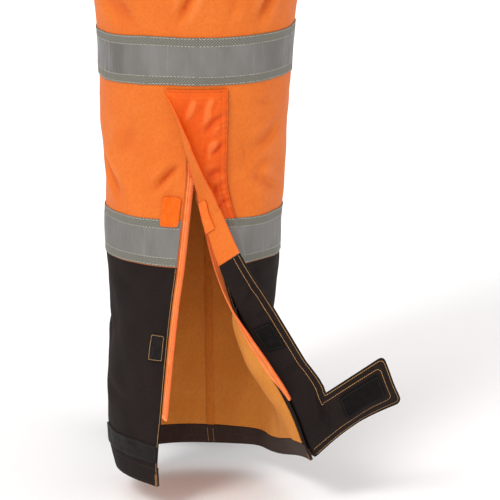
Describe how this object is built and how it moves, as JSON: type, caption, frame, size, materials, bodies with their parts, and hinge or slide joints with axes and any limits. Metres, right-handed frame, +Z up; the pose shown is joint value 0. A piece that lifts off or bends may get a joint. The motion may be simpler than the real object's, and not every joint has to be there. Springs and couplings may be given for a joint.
{
  "type": "high-visibility bib overalls",
  "caption": "Hollow high-visibility bib overalls with dark lower legs, reflective bands and braces; one leg's side zip is open with its storm flap turned over.",
  "frame": {"origin": "midway between the two braces where they lie on the wearer's shoulders", "axes": "+Z up along the wearer, -Y to the wearer's front, -X to the wearer's right"},
  "size_m": [0.489, 0.3604, 1.4528],
  "materials": {
    "orange_cloth": "matt fluorescent orange twill",
    "dark_cloth": "matt brown-black twill",
    "reflective_tape": "grey retro-reflective tape, satin",
    "lining": "the ochre-brown back of the orange twill",
    "zip_tape": "orange woven zip tape with a nylon coil",
    "zip_slider": "orange enamelled slider",
    "fastener_orange": "orange touch fastener",
    "fastener_dark": "black touch fastener",
    "webbing": "black woven elastic webbing",
    "buckle": "moulded black acetal"
  },
  "bodies": {
    "root": {"front_right_upper": "orange_cloth", "back_right_upper": "orange_cloth", "front_left_upper": "orange_cloth", "back_left_upper": "orange_cloth", "flap_right_upper": "orange_cloth", "flap_left_upper": "orange_cloth", "bib_front": "orange_cloth", "bib_back": "orange_cloth", "front_right_lower": "dark_cloth", "back_right_lower": "dark_cloth", "front_left_lower": "dark_cloth", "back_left_lower": "dark_cloth", "flap_right_lower": "dark_cloth", "flap_left_lower": "dark_cloth", "hem_facing_front": "dark_cloth", "hem_facing_back": "dark_cloth", "tape_upper_front_right": "reflective_tape", "tape_upper_front_left": "reflective_tape", "tape_upper_back_right": "reflective_tape", "tape_upper_back_left": "reflective_tape", "tape_lower_front_right": "reflective_tape", "tape_lower_front_left": "reflective_tape", "tape_lower_back_right": "reflective_tape", "tape_lower_back_left": "reflective_tape", "lining_front": "lining", "lining_back": "lining", "zip_tape_front": "zip_tape", "zip_tape_back": "zip_tape", "zip_slider": "zip_slider", "loop_patch_orange": "fastener_orange", "hook_patch_orange": "fastener_orange", "loop_patch_dark": "fastener_dark", "hook_patch_dark": "fastener_dark", "hook_patch_tab": "fastener_dark", "loop_strip_right": "fastener_dark", "loop_strip_left": "fastener_dark", "strap_right": "webbing", "strap_left": "webbing", "strap_end_right": "webbing", "strap_end_left": "webbing", "buckle_right": "buckle", "buckle_left": "buckle"}
  },
  "joints": []
}
